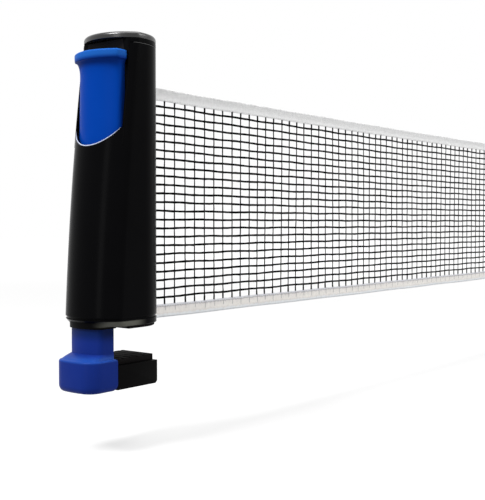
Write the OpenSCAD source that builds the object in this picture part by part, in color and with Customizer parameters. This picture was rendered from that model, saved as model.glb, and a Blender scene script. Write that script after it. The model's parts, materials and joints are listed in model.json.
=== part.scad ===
// Table tennis net clamp: a post that clamps on the side edge of the table and
// draws its net off a sprung reel. Millimetres, +Z up. The origin is on the table
// top, under the axis of the post's rounded inner end; +X runs along the net.

/* [Housing] */
// Half width of the post, and radius of its rounded inner end
post_half_w = 24; // [23.5:0.1:26]
// Reach of the outer end at table height, from the post's axis
foot_reach = 33.9; // [33.5:0.1:36]
// Lean of the outer end from upright, in degrees
face_lean = 2.6; // [2.4:0.1:2.8]
// Radius of the outer end's bow from top to bottom
face_bow_r = 1770; // [1600:10:2200]
// Radius of the outer end's bow from side to side
end_bow_r = 30; // [29:0.5:34]
// Radius of the corners between the sides and the outer end
corner_r = 7; // [6:0.5:8]
// Wall of the housing
shell_wall = 2.2; // [1.8:0.1:2.6]
// Height of the housing's lower edge
shell_bottom = 6.6; // [6.4:0.1:7]
// Height of the housing's upper edge
shell_top = 176; // [175.5:0.5:182]
// Thickness of the top cap
cap_t = 4; // [2.5:0.1:5]

/* [Grip pocket] */
// Half width of the pocket that the grip slides in
pocket_half_w = 20; // [19.8:0.1:20.4]
// Lowest point of the pocket's curved lip
lip_z = 111; // [110.5:0.5:114]
// Height that the lip's curve rises through
lip_rise = 11; // [9:0.5:14]

/* [Base] */
// Thickness of the rubber foot pad
foot_t = 1.8; // [1.6:0.1:2]
// Top of the base plate
base_top = 5.4; // [5.2:0.1:5.6]
// Reach of the base plate's chamfered lower edge
base_toe_reach = 30.2; // [29.5:0.1:31]
// Distance from the post's axis out to the table's side edge
table_edge = 14; // [13.5:0.1:14.3]

/* [Clamp] */
// Opening between the foot pad and the jaw pad
jaw_gap = 19; // [15:0.5:25]
// Reach of the neck's bowed outer face
neck_reach = 30.7; // [30:0.1:30.8]
// Distance from the post's axis to the neck's flat inner face
neck_back = 17; // [16.5:0.1:17.1]
// Half width of the neck
neck_half_w = 13.4; // [12:0.1:13.6]
// Reach of the jaw cup
cup_reach = 40; // [39:0.5:50]
// Half width of the jaw cup
cup_half_w = 17; // [16.8:0.1:22]
// Height of the jaw cup
cup_h = 20; // [18:0.5:22]
// Thickness of the jaw pad
pad_t = 3.8; // [3:0.1:4.5]
// Half width of the jaw block
block_half_w = 16.5; // [15:0.5:18]
// Distance that the jaw block reaches in under the table, from the post's axis
block_reach = 18; // [17:0.5:26]

/* [Grip] */
// Reach of the grip's face
grip_reach = 21.8; // [21:0.1:22]
// Radius of the grip's bowed face
grip_bow_r = 27; // [26:0.5:30]
// Half width of the grip, under its ledge
grip_half_w = 17.4; // [16.5:0.1:17.6]
// Half width of the grip at its foot
grip_foot_half_w = 18.4; // [17.6:0.1:18.6]
// Distance that the grip's foot stands out from its face
grip_foot_out = 0.6; // [0:0.1:0.7]
// Half width of the ledge
ledge_half_w = 19.2; // [18.5:0.1:19.4]
// Distance that the ledge stands out from the grip's face
ledge_out = 3.3; // [2.5:0.1:6]
// Top of the ledge
ledge_top = 168.5; // [167:0.5:169]
// Thickness of the ledge
ledge_t = 5.6; // [5:0.1:9]
// Radius of the hollow below the ledge
ledge_hollow_r = 8.5; // [6:0.5:10]

/* [Springs and rods] */
// Radius of the clamp springs, to the outside of the wire
clamp_spring_r = 3.8; // [3.5:0.1:3.9]
// Wire diameter of the clamp springs
clamp_wire = 1.1; // [0.9:0.05:1.2]
// Turns of each clamp spring
clamp_turns = 9; // [7:1:11]
// Radius of the guide rods and of the reel's axle
rod_r = 2; // [1.8:0.1:2]
// Wire diameter of the recoil spring
recoil_wire = 0.9; // [0.7:0.05:1]
// Turns of the recoil spring
recoil_turns = 22; // [16:1:26]

/* [Reel] */
// Distance from the post's axis to the reel's axis
reel_x = 6.5; // [6.2:0.1:6.6]
// Outer radius of the reel's tube
tube_r = 5.6; // [5.4:0.1:6]
// Wall of the reel's tube
tube_wall = 0.8; // [0.6:0.1:1]
// Outer radius of the net that is still wound on the reel
roll_r = 12.3; // [9:0.1:13]
// Radius of the reel's end flanges
flange_r = 14.4; // [13.8:0.1:14.4]

/* [Net] */
// Height of the net's top edge
net_top = 152.5; // [150:0.5:154]
// Height of the net's bottom edge where it enters the post
net_bottom = 8; // [7.9:0.1:9]
// Height of the net's hem between the post and the end bar
hem_bottom = 2.6; // [2:0.1:5]
// Height of the top tape
top_tape_h = 8; // [6:0.5:15]
// Height of the bottom tape
bottom_tape_h = 8.6; // [6:0.2:12]
// Thickness of a tape
tape_t = 1.8; // [1.6:0.1:2]
// Thickness of the net's thread
net_t = 0.8; // [0.6:0.1:1]
// Width of a thread
thread_w = 0.9; // [0.7:0.1:1.2]
// Radius of the cords in the tapes' folds
cord_r = 0.5; // [0.4:0.05:0.55]
// Distance from the post's axis to the end bar
net_out = 580; // [300:1:600]
// Gaps along the net
gaps_along = 20; // [10:1:25]
// Gaps up the net
gaps_up = 9; // [6:1:12]
// Width of the end bar
bar_w = 10; // [8:0.5:14]
// Thickness of each half of the end bar
bar_half_t = 3; // [2.5:0.1:5]
// Radius of the holes in the end hooks
hook_hole_r = 2.6; // [2:0.1:3]

/* [Hidden] */
$fn = 48;
fit = 0.05; // radial play of a rod or axle in its bore
gap = 0.3; // play between parts that slide or sit in each other
seam = 0.05; // half of the joint between the two bulkhead halves
far = 60; // reach of the cutting blocks, past every side of the post
post_top = shell_top + cap_t;
shell_inner_w = post_half_w - shell_wall;
bulk_front = 10.2; // face of the bulkhead that the grip slides on, outward of the axis
bulk_t = 1.8;
bulk_back = bulk_front - bulk_t;
lip_r = (pow(pocket_half_w, 2) + pow(lip_rise, 2)) / (2 * lip_rise);
slot_w = tape_t + 1.4;
rod_x = -(bulk_front + clamp_spring_r + 0.6); // the guide rods, outward of the bulkhead
rod_y = shell_inner_w - clamp_spring_r - 1.2;
rod_top = 72;
rod_bracket_h = 6;
lug_z = 55;
lug_h = 3;
washer_t = 0.8;
socket_deep = 2;
spigot_inset = shell_wall + gap;
spigot_wall = 1.4;
spigot_top = base_top + 5;
base_groove = 0.6;
grip_bottom = 104;
grip_back = bulk_front + 0.6;
grip_core_r = 4; // inner radius of the bowed profile, behind the grip's back
rail_reach = 22.4;
rail_bow_r = 27;
rail_half_w = 12;
tongue_t = 5;
tongue_half_w = 10.8;
tongue_top = 150;
tongue_front = grip_back + 1.2 + tongue_t;
slide_front = tongue_front - gap;
grip_screw_z = [118, 138];
screw_r = 1.5;
screw_head_r = 2.8;
jaw_screw_x = [-33, -23];
neck_top = 6;
neck_corner = 4;
collar_wall = 0.8;
cup_top = -jaw_gap + 1;
cup_wall = 2.4;
cup_back = neck_back;
cup_corner = 10;
cup_bow_r = 60;
block_top = -jaw_gap - pad_t;
block_bottom = cup_top - cup_h + 0.5;
net_mid_bottom = hem_bottom + bottom_tape_h;
net_mid_top = net_top - top_tape_h;
net_start = shell_inner_w + 0.4;
hem_start = post_half_w + 2; // where the hem has come down from the slot
hem_cord_start = hem_start + 2;
cord_depth = 1.2; // from a tape's edge to the middle of its cord
bracket_z = net_top + 5.5;
bracket_h = 5;
axle_top = bracket_z + bracket_h + 2.5;
clip_z = bracket_z + bracket_h + 0.3;
clip_t = 0.7;
flange_t = 1.2;
plug_h = 8;
hub_bottom_z = base_top + 0.4;
hub_top_z = net_top + 0.5;
cap_skirt_h = 5;
cap_screw_y = 14;
cap_screw_length = 9;
base_screw_length = 8;
grip_screw_length = 6.2;
jaw_screw_length = 5.5;
block_edge = 1.5;
base_boss_r = 3.1;
base_screw_x = -(bulk_back - base_boss_r + 0.1);
base_screw_y = shell_inner_w - base_boss_r - 1;
base_boss_top = 22;
bar_screw_z = [35, 80, 125];
hook_z = [35, 125];
hook_reach = 16;
rivet_r = 1.5;

// Reach of the post's outer end at a height
function reach_at(z) = foot_reach - z * tan(face_lean) - z * z / (2 * face_bow_r);

// Points along an arc about c, both ends counted
function arc(c, r, from, to, steps) =
  [for (i = [0:steps]) c + r * [cos(from + (to - from) * i / steps),
                               sin(from + (to - from) * i / steps)]];

// A bowed outer end between two sides: corner, bow and corner, inset all round
function bowed_end(reach, half_w, corner, bow, inset = 0) =
  let (bow_x = bow - reach, side = half_w - corner)
  let (corner_x = bow_x - sqrt(pow(bow - corner, 2) - side * side))
  let (turn = atan2(side, bow_x - corner_x), bend = arc([bow_x, 0], bow - inset,
       180 - turn, 180 + turn, 12))
  concat(
    arc([corner_x, side], corner - inset, 90, 180 - turn, 4),
    [for (i = [1:len(bend) - 2]) bend[i]],
    arc([corner_x, -side], corner - inset, 180 + turn, 270, 4)
  );

// Half width of the space inside the housing at a distance x and a reach
function inside_half_w(x, reach) =
  let (bow_x = end_bow_r - reach, side = post_half_w - corner_r, r = corner_r - shell_wall)
  let (corner_x = bow_x - sqrt(pow(end_bow_r - corner_r, 2) - side * side))
  x >= corner_x ? shell_inner_w
  : x >= corner_x - r * cos(atan2(side, bow_x - corner_x))
    ? side + sqrt(r * r - pow(x - corner_x, 2))
    : sqrt(pow(end_bow_r - shell_wall, 2) - pow(x - bow_x, 2));

// Plan of the post: rounded inner end, bowed outer end
function post_plan(reach, inset = 0) = concat(
  arc([0, 0], post_half_w - inset, -90, 90, 20),
  bowed_end(reach, post_half_w, corner_r, end_bow_r, inset)
);

// Plan of a block with a flat inner face at -back and a bowed outer end
function block_plan(reach, back, half_w, corner, bow, inset = 0) = concat(
  [[-back, -half_w + inset], [-back, half_w - inset]],
  bowed_end(reach, half_w, corner, bow, inset)
);

function at_height(plan, z) = [for (p = plan) [p[0], p[1], z]];

// A closed solid through rings of points that lie one above the other
module loft(rings) {
  n = len(rings[0]);
  sides = [
    for (k = [0:len(rings) - 2], i = [0:n - 1])
      let (a = k * n + i, b = k * n + (i + 1) % n)
      each [[a, a + n, b + n], [a, b + n, b]]
  ];
  bottom = [for (i = [0:n - 1]) i];
  top = [for (i = [n - 1:-1:0]) (len(rings) - 1) * n + i];
  polyhedron([for (r = rings) each r], concat(sides, [bottom, top]));
}

// A round tube wound into an open coil on the Z axis
module coil(mean_r, wire, z_low, z_high, turns) {
  per_turn = 8;
  around = 6;
  steps = turns * per_turn;
  rise = z_high - z_low - wire;
  tilt = atan2(rise / turns, 2 * PI * mean_r);
  rings = [
    for (s = [0:steps])
      let (a = 360 * s / per_turn, z = z_low + wire / 2 + rise * s / steps)
      [for (k = [0:around - 1])
        let (u = wire / 2 * cos(360 * k / around), v = wire / 2 * sin(360 * k / around))
        [(mean_r + u) * cos(a) + v * sin(tilt) * sin(a),
         (mean_r + u) * sin(a) - v * sin(tilt) * cos(a), z + v * cos(tilt)]]
  ];
  echo(least_gap = rise / turns * cos(tilt) - wire);
  skin = [
    for (s = [0:steps - 1], k = [0:around - 1])
      let (a = s * around + k, b = s * around + (k + 1) % around)
      each [[a, b, b + around], [a, b + around, a + around]]
  ];
  first = [for (k = [around - 1:-1:0]) k];
  last = [for (k = [0:around - 1]) steps * around + k];
  polyhedron([for (r = rings) each r], concat(skin, [first, last]));
}

module plate(plan, z_low, z_high) {
  translate([0, 0, z_low]) linear_extrude(z_high - z_low) polygon(plan);
}

// A block given by its two opposite corners
module block(low, high) {
  translate(low) cube(high - low);
}

module reel_place(z = 0) {
  translate([reel_x, 0, z]) children();
}

module rod_place(side, z = 0) {
  translate([rod_x, side * rod_y, z]) children();
}

// Space inside the housing, reaching past its open ends
module shell_inside(inset = 0) {
  heights = [for (i = [0:6]) shell_bottom - 2 + (shell_top - shell_bottom + 4) * i / 6];
  loft([for (z = heights) at_height(post_plan(reach_at(z), shell_wall + inset), z)]);
}

// Cheeks that close the corners of the shell beside the grip's pocket
module pocket_cheeks() {
  for (side = [-1, 1])
    translate([-far - bulk_front - 0.2, side < 0 ? -far : pocket_half_w, lip_z - 6])
      cube([far, far - pocket_half_w, shell_top]);
}

module pocket_cut() {
  translate([0, 0, lip_z + lip_r]) intersection() {
    union() {
      rotate([0, -90, 0]) cylinder(h = far, r = lip_r);
      block([-far, -lip_r, 0], [0, lip_r, shell_top]);
    }
    block([-far, -pocket_half_w, -lip_r - 1], [-bulk_front, pocket_half_w, shell_top]);
  }
}

module post_housing() color("#111214") difference() {
  heights = [for (i = [0:6]) shell_bottom + (shell_top - shell_bottom) * i / 6];
  loft([for (z = heights) at_height(post_plan(reach_at(z)), z)]);
  difference() {
    shell_inside();
    pocket_cheeks();
  }
  pocket_cut();
  block([0, -slot_w / 2, shell_bottom - 1], [post_half_w + 1, slot_w / 2, net_top + 1.5]);
}

module top_cap() color("#141517") difference() {
  reach = reach_at(shell_top);
  edge = [[0, 0], [cap_t - 1, 0], [cap_t - 0.3, 0.4], [cap_t, 1.2]];
  union() {
    loft([for (e = edge) at_height(post_plan(reach, e[1]), shell_top + e[0])]);
    intersection() {
      plate(post_plan(reach, shell_wall + gap), shell_top - cap_skirt_h, shell_top);
      block([-bulk_back + gap, -far, 0], [far, far, post_top]);
    }
  }
  difference() {
    plate(post_plan(reach, shell_wall + 1.8), shell_top - cap_skirt_h - 1, shell_top);
    block([-far, -far, 0], [-bulk_back + 2, far, post_top]);
  }
  for (side = [-1, 1]) reel_place(shell_top - 1) translate([0, side * cap_screw_y, 0]) {
    cylinder(h = 5, r = screw_r + 0.2);
    translate([0, 0, cap_t - 1]) cylinder(h = 5, r = screw_head_r + 0.2);
  }
}

module screw(length, head_h = 1.6) {
  difference() {
    cylinder(h = head_h, r = screw_head_r);
    for (turn = [0, 90]) rotate(turn)
      translate([-screw_head_r * 0.6, -0.35, head_h - 0.6])
        cube([screw_head_r * 1.2, 0.7, 1]);
  }
  translate([0, 0, -length]) cylinder(h = length, r = screw_r);
}

module cap_screws() color("silver")
  for (side = [-1, 1])
    reel_place(post_top - 1.95) translate([0, side * cap_screw_y, 0]) screw(cap_screw_length);

module base_plate() color("#141517") difference() {
  top_reach = reach_at(base_top);
  cut_h = spigot_top - base_top + 1;
  union() {
    loft([
      at_height(post_plan(base_toe_reach, 0.8), foot_t),
      at_height(post_plan(base_toe_reach + 0.6, 0.2), foot_t + 0.6),
      at_height(post_plan(top_reach - 0.4, 0), base_top)
    ]);
    plate(post_plan(top_reach - 0.4, base_groove), base_top - 0.2, shell_bottom - 0.1);
    difference() {
      plate(post_plan(top_reach, spigot_inset), base_top - 0.2, spigot_top);
      plate(post_plan(top_reach, spigot_inset + spigot_wall), base_top, spigot_top + 1);
    }
    plate(block_plan(neck_reach + gap + collar_wall, neck_back - gap - collar_wall,
                     neck_half_w + gap + collar_wall, neck_corner + 1, neck_reach + 1),
          0, base_top);
  }
  plate(post_plan(top_reach, spigot_inset + spigot_wall), base_top, spigot_top + 1);
  plate(block_plan(neck_reach + gap, neck_back - gap, neck_half_w + gap, neck_corner,
        neck_reach), -1, spigot_top + 1);
  for (side = [-1, 1]) {
    rod_place(side, base_top - socket_deep) cylinder(h = cut_h + socket_deep, r = rod_r + fit);
    rod_place(side, base_top) cylinder(h = cut_h, r = clamp_spring_r + gap);
    translate([base_screw_x, side * base_screw_y, foot_t - 1]) {
      cylinder(h = base_top, r = screw_r + 0.2);
      cylinder(h = 1 + 1.7, r = screw_head_r + 0.2);
    }
    translate([base_screw_x, side * base_screw_y, base_top])
      cylinder(h = cut_h, r = base_boss_r + gap);
  }
  reel_place(base_top - socket_deep) cylinder(h = cut_h + socket_deep, r = rod_r + fit);
  reel_place(base_top) cylinder(h = cut_h, r = flange_r + gap);
  block([reel_x, -slot_w, base_top], [post_half_w + 1, slot_w / 2, spigot_top + 1]);
  block([-bulk_front - gap, -shell_inner_w, base_top],
        [-bulk_back + gap, shell_inner_w, spigot_top + 1]);
}

module base_screws() color("silver")
  for (side = [-1, 1])
    translate([base_screw_x, side * base_screw_y, foot_t + 1.65])
      rotate([180, 0, 0]) screw(base_screw_length);

module foot_pad() color("#1b1b1b") difference() {
  plate(post_plan(foot_reach, 1.4), 0, foot_t);
  block([-far, -far, -1], [-(table_edge - 1), far, foot_t + 1]);
}

// The bulkhead's edges follow the inside of the housing all the way up
function bulkhead_outline() =
  let (low = base_top + gap, high = shell_top - gap, steps = 12)
  let (edge = [for (i = [0:steps]) let (z = low + (high - low) * i / steps)
       [inside_half_w(-bulk_front, reach_at(z)) - 0.4, z]])
  concat(edge, [for (i = [steps:-1:0]) [-edge[i][0], edge[i][1]]]);

module bulkhead(side) {
  bracket_r = shell_inner_w - 0.4;
  difference() {
    union() {
      translate([-bulk_front, 0, 0]) rotate([90, 0, 90]) linear_extrude(bulk_t)
        polygon(bulkhead_outline());
      translate([0, 0, bracket_z]) intersection() {
        cylinder(h = bracket_h, r = bracket_r);
        block([-bulk_back - 0.1, -far, 0], [far, far, bracket_h]);
      }
      for (s = [-1, 1]) {
        reel_place(bracket_z) translate([0, s * cap_screw_y, 0])
          cylinder(h = shell_top - gap - bracket_z, r = 3.2);
        block([rod_x - rod_r - 0.8, min(s * (rod_y - 3.4), s * (rod_y + 3.4)),
               rod_top - rod_bracket_h],
              [-bulk_front + 0.5, max(s * (rod_y - 3.4), s * (rod_y + 3.4)), rod_top]);
        translate([base_screw_x, s * base_screw_y, base_top + gap])
          cylinder(h = base_boss_top - base_top - gap, r = base_boss_r);
      }
    }
    block([-far, side > 0 ? -far : -seam, -1], [far, side > 0 ? seam : far, post_top]);
    reel_place(bracket_z - 1) cylinder(h = bracket_h + 2, r = rod_r + fit);
    for (s = [-1, 1]) {
      rod_place(s, rod_top - rod_bracket_h - 1)
        cylinder(h = rod_bracket_h + 2, r = rod_r + fit);
      reel_place(bracket_z + bracket_h + 1) translate([0, s * cap_screw_y, 0])
        cylinder(h = 30, r = screw_r + fit);
      translate([base_screw_x, s * base_screw_y, 0])
        cylinder(h = base_boss_top - 2, r = screw_r + fit);
    }
  }
}

module bulkhead_near() color("#26221f") bulkhead(-1);
module bulkhead_far() color("#26221f") bulkhead(1);

module guide_rod(side) rod_place(side, base_top - socket_deep + 0.1)
  cylinder(h = rod_top + 0.5 - base_top + socket_deep, r = rod_r);
module guide_rod_near() color("silver") guide_rod(-1);
module guide_rod_far() color("silver") guide_rod(1);

module clamp_spring(side) rod_place(side)
  coil(clamp_spring_r - clamp_wire / 2, clamp_wire, base_top + 0.1,
       lug_z - washer_t - 0.15, clamp_turns);
module clamp_spring_near() color("gray") clamp_spring(-1);
module clamp_spring_far() color("gray") clamp_spring(1);

module lever_grip() color("#0a41a5") {
  axis_x = grip_bow_r - grip_reach;
  ledge_bottom = ledge_top - ledge_t;
  out_r = grip_bow_r + ledge_out;
  // From the grip's face, the hollow swings out to the ledge's underside
  hollow = [for (i = [0:8]) let (a = 90 * i / 8)
    [grip_bow_r + ledge_out * 0.85 * (1 - cos(a)),
     ledge_bottom - ledge_hollow_r + ledge_hollow_r * sin(a)]];
  nose = [for (i = [0:6]) let (a = -90 + 180 * i / 6)
    [out_r - ledge_t * 0.35 + ledge_t * 0.35 * cos(a),
     ledge_top - ledge_t / 2 + ledge_t / 2 * sin(a)]];
  face = [[grip_core_r, grip_bottom], [grip_bow_r + grip_foot_out, grip_bottom]];
  // Half width of the grip at each height, up to the ledge
  sides = [[-grip_foot_half_w, grip_bottom], [grip_foot_half_w, grip_bottom],
           [grip_half_w, ledge_bottom + 0.5], [-grip_half_w, ledge_bottom + 0.5]];
  difference() {
    intersection() {
      translate([axis_x, 0, 0]) rotate_extrude($fn = 120)
        polygon(concat(face, hollow, nose, [[grip_core_r, ledge_top]]));
      union() {
        translate([-far, 0, 0]) rotate([90, 0, 90]) linear_extrude(far - grip_back)
          polygon(sides);
        block([-far, -ledge_half_w, ledge_bottom + 0.5], [-grip_back, ledge_half_w, post_top]);
      }
    }
    block([-tongue_front, -tongue_half_w - gap, grip_bottom - 1],
          [0, tongue_half_w + gap, tongue_top + gap]);
    for (z = grip_screw_z) translate([-tongue_front + 1, 0, z]) rotate([0, -90, 0])
      cylinder(h = 4.2, r = screw_r + fit);
  }
}

module grip_screws() color("silver")
  for (z = grip_screw_z)
    translate([-slide_front + tongue_t - 1.8, 0, z]) rotate([0, 90, 0])
      screw(grip_screw_length);

module clamp_slide() color("#1b3c9c") difference() {
  union() {
    block([-slide_front, -tongue_half_w, grip_bottom - 10],
          [-slide_front + tongue_t, tongue_half_w, tongue_top]);
    plate(block_plan(rail_reach, neck_back, rail_half_w, 2, rail_bow_r),
          neck_top - 1, grip_bottom - 0.4);
    block([-neck_back - 1, -tongue_half_w, grip_bottom - 12],
          [-slide_front + tongue_t, tongue_half_w, grip_bottom - 0.4]);
    plate(block_plan(neck_reach, neck_back, neck_half_w, neck_corner, neck_reach),
          cup_top - 1, neck_top);
    lug_plate();
    cup();
  }
  for (side = [-1, 1]) rod_place(side, lug_z - 1) cylinder(h = lug_h + 2, r = rod_r + fit + 0.05);
  for (z = grip_screw_z) translate([-slide_front - 1, 0, z]) rotate([0, 90, 0]) {
    cylinder(h = 20, r = screw_r + 0.1);
    translate([0, 0, tongue_t - 0.9]) cylinder(h = 9, r = screw_head_r + 0.2);
  }
}

// Ears of the slide that run on the guide rods and press on the springs
module lug_plate() {
  ear = rod_y + 3.4;
  half = [[-neck_back - 4, 0], [-neck_back - 4, neck_half_w + 1.5],
          [rod_x - 3.1, ear], [rod_x + 3.2, ear], [rod_x + 3.2, 0]];
  for (side = [0, 1]) mirror([0, side, 0])
    translate([0, 0, lug_z]) linear_extrude(lug_h) polygon(half);
}

// The rounded cup at the foot of the slide, open inward for the jaw block
module cup() {
  low = cup_top - cup_h;
  edge = [[0, 3.2], [1.2, 1.4], [3.2, 0.3], [5, 0], [cup_h - 1.4, 0], [cup_h, 1.3]];
  difference() {
    loft([for (e = edge)
      at_height(block_plan(cup_reach, cup_back, cup_half_w, cup_corner, cup_bow_r,
                           e[1]), low + e[0])]);
    plate(block_plan(cup_reach, cup_back - 1, cup_half_w, cup_corner, cup_bow_r,
                     cup_wall), low + cup_wall, cup_top - cup_wall - 1);
    for (x = jaw_screw_x) translate([x, 0, low - 1]) {
      cylinder(h = 9, r = screw_r + 0.2);
      cylinder(h = 2, r = screw_head_r + 0.2);
    }
  }
}

module spring_washers() color("silver")
  for (side = [-1, 1]) rod_place(side, lug_z - washer_t) difference() {
    cylinder(h = washer_t, r = clamp_spring_r);
    translate([0, 0, -1]) cylinder(h = 3, r = rod_r + fit + 0.05);
  }

module jaw_block() color("#141414") {
  cup_low = cup_top - cup_h;
  tongue_low = cup_low + cup_wall + gap;
  start = -cup_back + gap;
  side = [[start, block_bottom], [start, block_top],
          [block_reach, block_top], [block_reach, block_bottom + block_edge],
          [block_reach - block_edge, block_bottom]];
  difference() {
    union() {
      rotate([90, 0, 0]) linear_extrude(2 * block_half_w, center = true) polygon(side);
      plate(block_plan(cup_reach, cup_back - 1, cup_half_w, cup_corner, cup_bow_r,
                       cup_wall + gap), tongue_low, block_top - 0.2);
    }
    for (x = jaw_screw_x) translate([x, 0, tongue_low - 1])
      cylinder(h = 8, r = screw_r + fit);
    for (y = [-1, 1] * (block_half_w - 6)) translate([0.5, y, block_bottom - 1])
      linear_extrude(6) square([22, 4], center = true);
  }
}

module jaw_screws() color("silver")
  for (x = jaw_screw_x)
    translate([x, 0, cup_top - cup_h + 0.9]) rotate([180, 0, 0])
      screw(jaw_screw_length, 0.85);

module jaw_pad() color("#211c1c") {
  back = table_edge + 1.5;
  difference() {
    block([-back, -block_half_w + 3, block_top], [block_reach - 1, block_half_w - 3, -jaw_gap]);
    for (i = [1:5]) translate([-back + i * 6, 0, -jaw_gap])
      rotate([90, 0, 0]) linear_extrude(2 * block_half_w, center = true)
        polygon([[-0.7, 0.1], [0.7, 0.1], [0, -0.8]]);
  }
}

module reel_axle() color("silver") reel_place() difference() {
  translate([0, 0, base_top - socket_deep + 0.1])
    cylinder(h = axle_top - base_top + socket_deep - 0.1, r = rod_r);
  translate([0, 0, clip_z - 0.05]) difference() {
    cylinder(h = clip_t + 0.1, r = rod_r + 1);
    translate([0, 0, -1]) cylinder(h = clip_t + 3, r = rod_r - 0.5);
  }
}

module axle_clip() color("dimgray") reel_place(clip_z) difference() {
  cylinder(h = clip_t, r = rod_r + 1.6);
  translate([0, 0, -1]) cylinder(h = clip_t + 2, r = rod_r - 0.45);
  translate([0, -rod_r + 0.6, -1]) cube([9, 2 * rod_r - 1.2, clip_t + 2]);
}

module spring_anchor() color("#dcdcd4") reel_place(hub_bottom_z + flange_t + plug_h + 0.5)
  difference() {
    cylinder(h = 5, r = tube_r - tube_wall - 0.4);
    translate([0, 0, -1]) cylinder(h = 7, r = rod_r + 0.02);
  }

module reel_tube() color("lightgray") reel_place(hub_bottom_z + flange_t + 0.02)
  difference() {
    length = hub_top_z - hub_bottom_z - flange_t - 0.04;
    cylinder(h = length, r = tube_r);
    translate([0, 0, -1]) cylinder(h = length + 2, r = tube_r - tube_wall);
  }

module hub() {
  difference() {
    union() {
      cylinder(h = flange_t, r = flange_r);
      cylinder(h = flange_t + plug_h, r = tube_r - tube_wall - 0.05);
    }
    translate([0, 0, -1]) cylinder(h = flange_t + plug_h + 2, r = rod_r + fit);
  }
}

module reel_hub_bottom() color("#dcdcd4") reel_place(hub_bottom_z) hub();
module reel_hub_top() color("#dcdcd4")
  reel_place(hub_top_z + flange_t) mirror([0, 0, 1]) hub();

module recoil_spring() color("gray") reel_place()
  coil((rod_r + tube_r - tube_wall) / 2, recoil_wire,
       hub_bottom_z + flange_t + plug_h + 5.7, hub_top_z - plug_h - 0.2, recoil_turns);

module net_roll() color("#33373b") reel_place(net_bottom) difference() {
  cylinder(h = net_top - net_bottom, r = roll_r);
  translate([0, 0, -1]) cylinder(h = net_top - net_bottom + 2, r = tube_r + 0.05);
}

module net_mesh() color("#101010") {
  pitch_x = (net_out - post_half_w) / gaps_along;
  pitch_z = (net_mid_top - net_mid_bottom) / gaps_up;
  end_x = net_out + bar_w * 0.45;
  frame = [[net_start, net_mid_bottom], [end_x, net_mid_bottom],
           [end_x, net_mid_top], [net_start, net_mid_top]];
  holes = [
    for (i = [0:gaps_along - 1], k = [0:gaps_up - 1])
      let (x = post_half_w + i * pitch_x, z = net_mid_bottom + k * pitch_z)
      each [[x + thread_w, z + thread_w], [x + thread_w, z + pitch_z],
            [x + pitch_x, z + pitch_z], [x + pitch_x, z + thread_w]]
  ];
  count = gaps_along * gaps_up;
  rotate([90, 0, 0]) linear_extrude(net_t, center = true)
    polygon(concat(frame, holes),
            concat([[0, 1, 2, 3]], [for (h = [0:count - 1]) [for (c = [0:3]) 4 + 4 * h + c]]));
}

// The stretch of net from the slot back to where it meets the roll
module net_lead() color("#33373b") {
  meet = acos((roll_r + gap) / (net_start - reel_x));
  lead = (roll_r + gap) * tan(meet) - 0.4;
  translate([net_start - 0.1, 0, net_bottom]) rotate(180 + 90 - meet)
    translate([0.4, 0, 0]) cube([lead, net_t / 2, net_top - net_bottom]);
}

// A tape, given by its outline from the side, with a channel for its cord
module tape(outline, cord_from, cord_z) difference() {
  rotate([90, 0, 0]) linear_extrude(tape_t, center = true) polygon(outline);
  translate([cord_from, 0, cord_z]) rotate([0, 90, 0])
    cylinder(h = net_out, r = cord_r + 0.05, $fn = 24);
}

module cord(start, z) translate([start, 0, z]) rotate([0, 90, 0])
  cylinder(h = net_out - 0.4 - start, r = cord_r, $fn = 24);

module top_tape() color("#e4e4e6") {
  start = net_start + 0.5;
  end = net_out - gap;
  tape([[start, net_mid_top], [end, net_mid_top], [end, net_top], [start, net_top]],
       0, net_top - cord_depth);
}

// The bottom tape drops to the hem as soon as it has left the slot
module bottom_tape() color("#e6e2d6") {
  start = net_start + 0.5;
  end = net_out - gap;
  tape([[start, net_bottom], [post_half_w + gap, net_bottom], [hem_start, hem_bottom],
        [end, hem_bottom], [end, net_mid_bottom], [start, net_mid_bottom]],
       hem_cord_start, hem_bottom + cord_depth);
}

module top_cord() color("white") cord(net_start + 0.6, net_top - cord_depth);
module hem_cord() color("white") cord(hem_cord_start + 0.1, hem_bottom + cord_depth);

module end_bar(side) {
  low = hem_bottom - 1.6;
  high = net_top + 2;
  difference() {
    translate([0, side * (net_t / 2 + bar_half_t / 2), 0]) rotate([90, 0, 0])
      linear_extrude(bar_half_t, center = true) union() {
        translate([net_out, low + bar_w / 2]) square([bar_w, high - low - bar_w]);
        for (z = [low, high - bar_w]) translate([net_out + bar_w / 2, z + bar_w / 2])
          circle(r = bar_w / 2);
      }
    for (z = bar_screw_z) translate([net_out + bar_w * 0.72, 0, z]) rotate([90, 0, 0])
      cylinder(h = 4 * bar_half_t, r = rivet_r + fit, center = true);
  }
}

module end_bar_near() color("#18191b") end_bar(-1);
module end_bar_far() color("#18191b") end_bar(1);

module end_hooks() color("silver")
  for (z = hook_z)
    translate([net_out + bar_w * 0.5, 0, z]) rotate([90, 0, 0])
      linear_extrude(net_t - 0.04, center = true) difference() {
        union() {
          translate([0, -5]) square([hook_reach, 10]);
          translate([hook_reach, 0]) circle(r = 5);
        }
        translate([hook_reach, 0]) circle(r = hook_hole_r);
        translate([bar_w * 0.22, 0]) circle(r = rivet_r + fit);
      }

module end_rivets() color("silver")
  for (z = bar_screw_z) translate([net_out + bar_w * 0.72, 0, z]) rotate([90, 0, 0]) {
    cylinder(h = 2 * bar_half_t + net_t, r = rivet_r, center = true);
    for (s = [0, 1]) mirror([0, 0, s]) translate([0, 0, bar_half_t + net_t / 2])
      cylinder(h = 0.8, r = 2.6);
  }

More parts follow.
